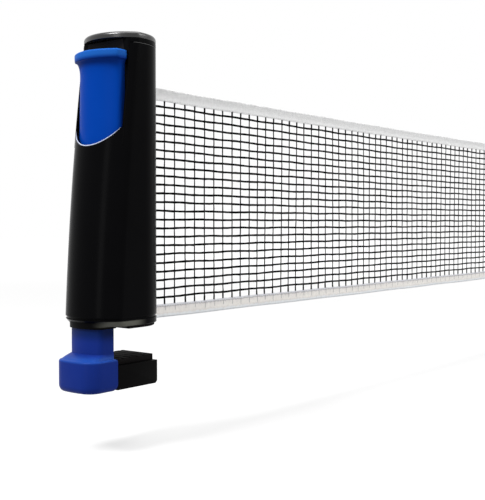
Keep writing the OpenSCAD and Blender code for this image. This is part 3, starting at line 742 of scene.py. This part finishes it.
def cap():
    """The top cap: a thin plate with rounded edges, and the skirt that seats it in the shell."""
    reach = reach_at(SHELL_TOP)
    low, high = SHELL_TOP + 0.1 * MM, cap_high.z

    def plan(inset):
        return post_plan(reach, inset)

    rings = rounded_rings(plan, low, high, CAP_EDGE_R, 0.3 * MM, 10)
    rings += [level(plan(3.2 * MM), high - 0.02 * MM), level(plan(5 * MM), high - 0.05 * MM)]
    piece = loft("top_cap_shell", rings)
    screw_low, screw_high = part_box("cap_screws")
    for side in (-1, 1):
        place = middle(screw_low, screw_high)[0], side * (screw_high.y - SCREW_HEAD_R)
        drilled(piece, place, SCREW_HEAD_R + 0.25 * MM, high - RECESS_DEEP, high + RECESS_DEEP)
    dress(piece, "post", "cap", "top_cap")

    back, skirt_low = -BULK_FRONT + 2.1 * MM, cap_low.z

    def skirt_plan(inset):
        return [(max(x, back + inset), y) for x, y in plan(inset)]

    wall = SHELL_WALL + PLAY
    skirt = prism("cap_skirt", skirt_plan(wall), skirt_low, SHELL_TOP + 0.3 * MM)
    cut(skirt, prism("inside", skirt_plan(wall + SKIRT_WALL), skirt_low - MM, SHELL_TOP - 0.1 * MM))
    dress(skirt, "post", "cap")


def base():
    """The base plate, tapered to its toe, and the collar that closes it round the neck."""
    toe, under, top = TOE_REACH, foot_high.z, BASE_TOP
    start, full = toe + 0.2 * MM, reach_at(top) - 0.3 * MM
    profile = [(toe, 3 * MM, under), (toe, 0.7 * MM, under), (toe, 0.25 * MM, under + 0.12 * MM),
               (start, 0.05 * MM, under + 0.35 * MM)]
    profile += [(reach, 0, z) for reach, z in
                zip(evenly(start, full, 6), evenly(under + 0.6 * MM, top - 0.3 * MM, 6))]
    profile += [(full, 0.08 * MM, top - 0.12 * MM), (full, 0.3 * MM, top),
                (full, 0.8 * MM, top + 0.02 * MM), (full, 0.8 * MM, SHELL_BOTTOM + 0.3 * MM),
                (full, 4 * MM, SHELL_BOTTOM + 0.35 * MM)]
    plate = loft("base_rim", [level(post_plan(reach, inset), z) for reach, inset, z in profile])

    def with_hole(piece):
        return cut(piece, prism("neck_hole", neck_plan(PLAY), -5 * MM, 20 * MM))

    dress(with_hole(plate), "post", "base", "base_plate")

    rim = [level(neck_plan(PLAY + COLLAR_WALL, MM, inset), z) for inset, z in
           ((0.4 * MM, 0.0), (0.12 * MM, 0.12 * MM), (0, 0.4 * MM), (0, top - 0.3 * MM))]
    dress(with_hole(loft("neck_collar", rim)), "post", "base")


def foot():
    """The rubber foot pad, with its edges rounded."""
    edge = foot_low.x

    def plan(inset):
        flat = arc((0, 0), foot_high.y - inset, -90, 90, 48)
        return flat + [(edge + inset, foot_high.y - inset), (edge + inset, foot_low.y + inset)]

    piece = loft("foot_rubber", rounded_rings(plan, foot_low.z, foot_high.z, 0.2 * MM, 0.6 * MM))
    dress(piece, "post", "pad_rubber", "foot_pad")


# ---------------- the clamp
GRIP_REACH = 21.8 * MM
GRIP_BOW_R = 27 * MM
GRIP_HALF = 17.4 * MM
GRIP_FOOT_HALF = 18.4 * MM
GRIP_FOOT_OUT = 0.6 * MM
LEDGE_HALF = grip_high.y
LEDGE_OUT = 3.3 * MM
HOLLOW_R = 8.5 * MM
TONGUE_BACK, TONGUE_FRONT, TONGUE_HALF = 11.7 * MM, 16.7 * MM, 10.8 * MM
TONGUE_LOW, TONGUE_TOP = 92 * MM, 150 * MM


def grip():
    """The blue grip: an upright bowed face, a hollow and the ledge over it."""
    back = -grip_high.x
    top, bottom = grip_high.z, grip_low.z
    face_top = LEDGE_LOW - HOLLOW_R
    corner, ledge_corner = 4.5 * MM, 2.6 * MM
    hollow_out = 0.8 * LEDGE_OUT

    def ring(z, out, half, inset=0.0, round_r=corner):
        plan = block_plan(GRIP_REACH + out, back, half, round_r, GRIP_BOW_R + out, inset)
        return level(plan, z)

    def face_ring(z, inset=0.0):
        down = (face_top - z) / (face_top - bottom)
        return ring(z, GRIP_FOOT_OUT * down, GRIP_HALF + (GRIP_FOOT_HALF - GRIP_HALF) * down, inset)

    rings = [face_ring(bottom, 0.6 * MM), face_ring(bottom + 0.6 * MM)]
    rings += [face_ring(z) for z in evenly(bottom, face_top, 15)[1:]]
    for sin, cos in quarter_turn(14):
        share = 1 - cos
        wide = GRIP_HALF + (LEDGE_HALF - GRIP_HALF) * share ** 1.5
        rings.append(ring(face_top + HOLLOW_R * sin, hollow_out * share, wide, 0,
                          corner + (ledge_corner - corner) * share))
    nose, brow = 2.2 * MM, 1.3 * MM
    rings += [ring(LEDGE_LOW + nose * (1 - cos), hollow_out + (LEDGE_OUT - hollow_out) * sin,
                   LEDGE_HALF, 0, ledge_corner) for sin, cos in quarter_turn(5)]
    rings += [ring(top - brow + brow * sin, LEDGE_OUT, LEDGE_HALF, brow * (1 - cos), ledge_corner)
              for sin, cos in quarter_turn(6, 0)]
    piece = loft("grip_lever", rings, sharp=50)
    cut(piece, box_piece("channel",
                         (-TONGUE_FRONT - PLAY, -TONGUE_HALF - PLAY, bottom - MM),
                         (0, TONGUE_HALF + PLAY, TONGUE_TOP + PLAY)))
    dress(piece, "clamp", "grip_blue", "lever_grip")


CUP_REACH, CUP_HALF, CUP_CORNER, CUP_BOW_R = -slide_low.x, 17 * MM, 10 * MM, 60 * MM
JAW_SCREW_X, JAW_SCREW_HOLE_R = (-33 * MM, -23 * MM), 3 * MM
RAIL_REACH, RAIL_HALF, RAIL_CORNER, RAIL_TOP = 22.4 * MM, 12 * MM, 2 * MM, 103.4 * MM
EAR_LOW, EAR_HIGH = 55 * MM, 58 * MM
EAR_MM = [(-21, 0), (-21, 14.5), (-17.7, 20.2), (-11.4, 20.2), (-11.4, 0)]
ROD_HOLE_R = 2.1 * MM


def slide():
    """Rail, neck and jaw cup, with the ears that run on the guide rods."""
    def cup_ring(z, inset):
        return level(block_plan(CUP_REACH, NECK_BACK, CUP_HALF, CUP_CORNER, CUP_BOW_R, inset), z)

    rim_r, rim_h, round_r = 1.5 * MM, 1.3 * MM, 4.2 * MM
    rim, foot = CUP_TOP - RIM_DROP, CUP_TOP + SHOULDER_RISE
    neck_foot, cup_rim = level(neck_plan(), foot), cup_ring(rim, rim_r + 0.2 * MM)

    def shoulder_ring(share):
        """Between the neck's foot and the cup's rim, on a slope that rounds over at the rim."""
        z = rim + (foot - rim) * (1 - share) ** 0.8
        return [(a[0] + (b[0] - a[0]) * share, a[1] + (b[1] - a[1]) * share, z)
                for a, b in zip(neck_foot, cup_rim)]

    rings = [level(neck_plan(), z) for z in evenly(NECK_TOP, foot, 10)]
    rings += [shoulder_ring(share ** 1.4) for share in evenly(0, 1, 10)[1:]]
    rings += [cup_ring(rim - rim_h * (1 - cos), rim_r * (1 - sin)) for sin, cos in quarter_turn(5)]
    rings += [cup_ring(CUP_LOW + round_r * (1 - sin), round_r * 0.75 * (1 - cos))
              for sin, cos in quarter_turn(8, 0)]
    piece = loft("neck_and_cup", rings, sharp=50)
    for x in JAW_SCREW_X:
        drilled(piece, (x, 0), JAW_SCREW_HOLE_R, CUP_LOW - 2 * MM, CUP_LOW + MM)
    dress(piece, "clamp", "jaw_blue", "clamp_slide")

    start = NECK_TOP - 0.2 * MM
    rail_plan = block_plan(RAIL_REACH, NECK_BACK, RAIL_HALF, RAIL_CORNER, GRIP_BOW_R)
    rail = prism("rail", rail_plan, start, RAIL_TOP)
    stem = loft("stem", [level(block_plan(reach_at(z) - SHELL_WALL - STEM_GAP, NECK_BACK,
                                          RAIL_HALF, NECK_CORNER, NECK_REACH), z)
                         for z in evenly(start, start + STEM_H, 6)])
    tongue = box_piece("tongue", (-TONGUE_FRONT, -TONGUE_HALF, TONGUE_LOW),
                       (-TONGUE_BACK, TONGUE_HALF, TONGUE_TOP))
    ears = []
    for side, rod in ((-1, "guide_rod_near"), (1, "guide_rod_far")):
        outline = [(x * MM, side * y * MM) for x, y in EAR_MM]
        ear = prism("ear", outline, EAR_LOW, EAR_HIGH)
        place = middle(*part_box(rod))
        ears.append(drilled(ear, place, ROD_HOLE_R, EAR_LOW - MM, EAR_HIGH + MM, 32))
    dress(joined("slide_rail", [rail, stem, tongue] + ears), "clamp", "jaw_blue")


# ---------------- the net
NET_START = mesh_low.x
NET_END = mesh_high.x
NET_TOP = top_tape_high.z
SLOT_FOOT = 8 * MM
HEM = bottom_tape_low.z - 1.4 * MM
HEM_START = 26 * MM
THREADS = 23
FIRST_THREAD = 11.6 * MM
LAST_THREAD = 13.4 * MM
LEVEL_R, UPRIGHT_R, UPRIGHT_END_R = 0.72 * MM, 0.42 * MM, 0.6 * MM
KNOT_SWELL, KNOT_HALF = 1.22, 0.9 * MM
PITCH_X = 10.5 * MM
TOP_TAPE_H = 8 * MM
BOTTOM_TAPE_H = 8.6 * MM
FOLD_R, FOLD_FOOT, TAPE_T = 1.05 * MM, 0.75 * MM, 0.28 * MM
CORD_R = 0.6 * MM

draw = random.Random(7)


def hem_at(x):
    """Height of the net's lower edge: gathered up where it enters the slot."""
    share = min(max((HEM_START - x) / (HEM_START - house_high.x), 0), 1)
    return HEM + (SLOT_FOOT - HEM) * share


def top_at(x):
    """Height of the net's upper edge, which sags a little."""
    span = (x - house_high.x) / (NET_END - house_high.x)
    return NET_TOP - 0.6 * MM * math.sin(math.pi * max(span, 0))


def depth_at(x, z):
    """How far the net stands off its plane: soft waves that die out at both ends."""
    span = min(max((x - house_high.x) / (bar_low.x - house_high.x), 0), 1)
    swell = math.sin(math.pi * span) ** 0.5 if 0 < span < 1 else 0
    wave = math.sin(x / (61 * MM) + z / (90 * MM)) + 0.6 * math.sin(x / (23 * MM) - z / (50 * MM))
    return 0.45 * MM * swell * wave


def beside_net(x, z, off=0.0):
    """A point on the net, or a little off it to one side."""
    return x, depth_at(x, z) + off, z


def thread_height(x, i):
    """Height of one of the threads that run along the net, counted from the top."""
    top = top_at(x)
    pitch = (top - FIRST_THREAD - HEM - LAST_THREAD) / (THREADS - 1)
    return top - FIRST_THREAD - pitch * i


def upright_places():
    """Where the upright threads stand."""
    places = [house_high.x + 8.5 * MM]
    while places[-1] < bar_low.x - 3 * MM - PITCH_X:
        places.append(places[-1] + PITCH_X * draw.uniform(0.93, 1.07))
    return places


UPRIGHTS = upright_places()


def drawn_in(piece):
    """Gives the piece its own copy of its mesh."""
    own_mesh(piece)


def level_thread(i):
    """One thread along the net, with a knot at each upright."""
    drift = draw.uniform(0, 10)
    start, end = NET_START + 0.6 * MM, NET_END - 0.6 * MM
    marks = [start, house_high.x] + UPRIGHTS + [end]
    stations = []
    for a, b in zip(marks, marks[1:]):
        near, far = a + KNOT_HALF, b - KNOT_HALF
        swell = KNOT_SWELL if a in UPRIGHTS else 1
        stations += [(a, swell), (near, 1), ((near + far) / 2, 1), (far, 1)]
    stations.append((end, 1))
    line, radii = [], []
    for x, thick in stations:
        shake = 0.2 * MM * math.sin(x / (9 * MM) + drift) + draw.uniform(-0.1, 0.1) * MM
        line.append(beside_net(x, thread_height(x, i) + shake))
        radii.append(LEVEL_R * thick * draw.uniform(0.9, 1.1))
    return tube("level", line, radii, 6)


def upright_thread(x):
    """One thread across the net, thicker where it runs double into the tapes."""
    count = 44
    lean = draw.uniform(-0.7, 0.7) * MM
    low, high = HEM + BOTTOM_TAPE_H - 0.4 * MM, top_at(x) - TOP_TAPE_H + 0.8 * MM
    first, last = thread_height(x, 0), thread_height(x, THREADS - 1)
    line, radii = [], []
    for k, z in enumerate(evenly(low, high, count)):
        px = x + lean * (k / count - 0.5) + draw.uniform(-0.15, 0.15) * MM
        line.append(beside_net(px, z, -0.25 * MM))
        radii.append((UPRIGHT_R if last < z < first else UPRIGHT_END_R) * draw.uniform(0.88, 1.12))
    return tube("upright", line, radii, 5)


def net_threads():
    """The knitted mesh: level threads, thicker where they are knotted to the upright ones."""
    pieces = [level_thread(i) for i in range(THREADS)] + [upright_thread(x) for x in UPRIGHTS]
    piece = joined("net_threads", pieces, 60)
    drawn_in(dress(piece, "post", "net_thread", "net_mesh"))


def fold_profile(height):
    """Section of a tape folded over its cord: (across, down from the edge) points."""
    foot = FOLD_FOOT
    side = [(foot, -height), (foot + 0.04 * MM, -height * 0.9), (foot + 0.1 * MM, -height * 0.72),
            (foot + 0.1 * MM, -height * 0.5), (FOLD_R * 0.92, -FOLD_R * 2.6),
            (FOLD_R, -FOLD_R * 1.6)]
    outer = [(-u, v) for u, v in side]
    outer += arc((0, -FOLD_R), FOLD_R, 180, 0, 8) + side[::-1]
    inner = []
    for u, v in reversed(outer):
        scale = (abs(u) - TAPE_T) / abs(u) if abs(u) > TAPE_T * 1.01 else 0.02
        inner.append((u * scale, v - (TAPE_T if v > -FOLD_R else 0)))
    return outer + inner


def tape(name, edge, up, height, node):
    """A tape folded over its cord, swept along the net's edge."""
    profile = fold_profile(height)
    stations = 170
    start, end = NET_START + 0.5 * MM, bar_low.x - 0.3 * MM
    points = []
    for x in evenly(start, end, stations):
        z = edge(x) + 0.12 * MM * math.sin(x / (17 * MM)) + draw.uniform(-0.05, 0.05) * MM
        y = depth_at(x, z)
        squeeze = 1 - abs(edge(x) - edge(end)) / height if up < 0 else 1
        points += [(x, y + u, z + up * v * squeeze) for u, v in profile]
    n = len(profile)
    piece = outward(mesh_piece(name, points, tube_faces(stations + 1, n), 50))
    across = piece.data.attributes.new("across", "FLOAT", "POINT")
    across.data.foreach_set("value", [-v / height for _, v in profile] * (stations + 1))
    drawn_in(dress(piece, "post", node, node))


def stitching(name, edge, up, drop, slot, look="stitch"):
    """A row of stitches along a tape, on both faces."""
    length, pitch, radius = 1.5 * MM, 2.5 * MM, 0.17 * MM
    radii = [radius * share for share in (0.4, 0.9, 1, 0.9, 0.4)]
    pieces = []
    x = HEM_START + MM
    while x < bar_low.x - 2 * MM:
        places = [x + length * share for share in (0, 0.15, 0.5, 0.85, 1)]
        for face in (-1, 1):
            line = [beside_net(px, edge(px) - up * drop, face * 0.84 * MM) for px in places]
            pieces.append(tube("stitch", line, radii, 6))
        x += pitch * draw.uniform(0.96, 1.04)
    drawn_in(dress(joined(name, pieces, 60), "post", slot, look=look))


def thread_ends():
    """The ends of the upright threads, seen as ribs through the bottom tape."""
    pieces = []
    for x in UPRIGHTS:
        for face in (-1, 1):
            length = draw.uniform(3, 5) * MM
            line = []
            for share in (0, 0.3, 0.7, 1):
                z = hem_at(x) + BOTTOM_TAPE_H - 0.9 * MM - length * share
                line.append((x + draw.uniform(-0.1, 0.1) * MM, depth_at(x, z) + face * 0.78 * MM, z))
            pieces.append(tube("end", line, 0.22 * MM, 6))
    drawn_in(dress(joined("hem_thread_ends", pieces, 60), "post", "bottom_tape", look="stitch"))


def edge_cord(name, edge, up, start, node):
    """The cord in a tape's fold."""
    line = [beside_net(x, edge(x) - up * FOLD_R) for x in evenly(start, bar_low.x - 0.5 * MM, 160)]
    drawn_in(dress(tube(name, line, CORD_R, 10), "post", "cord", node))


# ---------------- inside and ends
CLAMP_TURNS, CLAMP_WIRE = 9, 1.1 * MM
RECOIL_TURNS, RECOIL_WIRE = 22, 0.9 * MM


def coil(node, turns, wire, body):
    """A coil spring of round wire, in the space of its CAD node."""
    low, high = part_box(node)
    steps = turns * 28
    circles = arc(middle(low, high), (high.x - low.x - wire) / 2, 0, turns * 360, steps)
    rise = evenly(low.z + wire / 2, high.z - wire / 2, steps)
    line = [(x, y, z) for (x, y), z in zip(circles, rise)]
    piece = tube(node + "_wire", line, wire / 2, 8, (0, 0, 1))
    return dress(piece, body, "spring_steel", node)


def springs():
    """The clamp springs and the reel's recoil spring."""
    for node in ("clamp_spring_near", "clamp_spring_far"):
        piece = coil(node, CLAMP_TURNS, CLAMP_WIRE, None)
        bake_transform(piece)
    coil("recoil_spring", RECOIL_TURNS, RECOIL_WIRE, "reel")


def plain_nodes():
    """CAD nodes that keep their own form and only get their finish."""
    slots = {s["node"]: s["material_slot"] for s in frame["record"]["subparts"]}
    for name, node in nodes.items():
        if not node.hide_render:
            node.data.materials.clear()
            node.data.materials.append(MATERIALS[slots[name]])


# ---------------- studio
def aimed(name, data, place, ahead):
    """A camera or a lamp at its place, turned to look ahead."""
    thing = put_in_scene(name, data)
    thing.location = place
    thing.rotation_euler = ahead.to_track_quat("-Z", "Y").to_euler()
    return thing


def camera():
    """The photograph's view: from outside the table's edge, low over its top."""
    yaw, pitch = math.radians(38), math.radians(1.7)
    ahead = Vector((math.cos(yaw) * math.cos(pitch), math.sin(yaw) * math.cos(pitch),
                    -math.sin(pitch)))
    data = bpy.data.cameras.new("camera")
    data.lens = 65.7
    data.sensor_width = 36
    data.clip_start, data.clip_end = 0.01, 50
    place = Vector((-404, -415, 64)) * MM
    bpy.context.scene.camera = aimed("camera", data, place, ahead)


def area_light(name, place, target, size, power):
    """A soft white panel that faces its target."""
    data = bpy.data.lights.new(name, "AREA")
    data.shape = "RECTANGLE"
    data.size, data.size_y = size
    data.energy = power
    aimed(name, data, place, Vector(target) - Vector(place))


def studio():
    """Plain soft light, and a white surround for the camera, metal and glass only."""
    scene = bpy.context.scene
    scene.view_settings.view_transform = "Standard"
    world = bpy.data.worlds.new("studio")
    scene.world = world
    world.use_nodes = True
    tree = world.node_tree
    tree.nodes.clear()
    out = tree.nodes.new("ShaderNodeOutputWorld")
    mix = tree.nodes.new("ShaderNodeMixShader")
    tree.links.new(seen_directly(tree), mix.inputs[0])
    for socket, strength in ((1, 0.3), (2, 1.0)):
        white = tree.nodes.new("ShaderNodeBackground")
        white.inputs["Color"].default_value = (1, 1, 1, 1)
        white.inputs["Strength"].default_value = strength
        tree.links.new(white.outputs[0], mix.inputs[socket])
    tree.links.new(mix.outputs[0], out.inputs[0])
    area_light("key", (-0.95, 0.2, 1.35), (0, 0, 0.06), (0.45, 0.45), 26)
    area_light("strip", (-1.25, -0.2, 0.3), (0, 0, 0.08), (0.25, 0.9), 2)
    area_light("front", (0.75, -1.15, 0.9), (0.35, 0, 0.08), (0.9, 0.6), 12)
    area_light("top", (0.1, -0.1, 1.2), (0.1, 0, 0), (1.0, 0.8), 10)
    floor()


def seen_directly(tree):
    """1 where the camera sees the surface itself or its image in metal or glass."""
    path = tree.nodes.new("ShaderNodeLightPath")
    total = path.outputs["Is Camera Ray"]
    for kind in ("Is Glossy Ray", "Is Transmission Ray"):
        either = tree.nodes.new("ShaderNodeMath")
        either.operation = "MAXIMUM"
        tree.links.new(total, either.inputs[0])
        tree.links.new(path.outputs[kind], either.inputs[1])
        total = either.outputs[0]
    return total


def floor():
    """A white floor below the jaw's lowest reach, which keeps the object's shadow."""
    size, height = 6.0, -76 * MM
    points = [(-size, -size, height), (size, -size, height), (size, size, height),
              (-size, size, height)]
    piece = mesh_piece("studio_floor", points, [(0, 1, 2, 3)])
    shade = Shade("floor_paint", grey(0.3), 0.9, Specular_IOR_Level=0.0)
    shade.colour_from(shade.noise(3, 2), grey(0.29), grey(0.31))
    shade.shader.inputs["Emission Color"].default_value = (1, 1, 1, 1)
    distance = shade.add("ShaderNodeVectorMath", operation="LENGTH")
    shade.link(shade.place, distance.inputs[0])
    lift = shade.add("ShaderNodeMapRange",
                     {"From Min": 0.6, "From Max": 2.5, "To Min": 0.64, "To Max": 0.95})
    shade.link(distance.outputs["Value"], lift.inputs["Value"])
    glow = shade.sum_of(seen_directly(shade.tree), lift.outputs["Result"], "MULTIPLY")
    shade.link(glow, shade.shader.inputs["Emission Strength"])
    piece.data.materials.append(shade.mat)


camera()
housing()
lip_edge()
line_bead()
pocket_cheeks()
cap()
base()
foot()
grip()
slide()
tape("top_tape_fold", top_at, 1, TOP_TAPE_H, "top_tape")
tape("bottom_tape_fold", hem_at, -1, BOTTOM_TAPE_H, "bottom_tape")
edge_cord("top_edge_cord", top_at, 1, NET_START + 0.6 * MM, "top_cord")
edge_cord("hem_edge_cord", hem_at, -1, HEM_START + 2 * MM, "hem_cord")
net_threads()
stitching("top_tape_stitches", top_at, 1, 7.3 * MM, "top_tape", "white_stitch")
stitching("hem_top_stitches", hem_at, -1, 7.4 * MM, "bottom_tape")
stitching("hem_cord_stitches", hem_at, -1, 2.5 * MM, "bottom_tape", "white_stitch")
thread_ends()
springs()
refined("jaw_block", "jaw_block_body", "clamp", "jaw_black", 0.5 * MM, 3)
refined("jaw_pad", "jaw_pad_rubber", "clamp", "pad_rubber", 0.3 * MM)
refined("end_bar_near", "end_bar_front", "net", "bar_plastic", 0.5 * MM, 3)
refined("end_bar_far", "end_bar_back", "net", "bar_plastic", 0.5 * MM, 3)
plain_nodes()
studio()
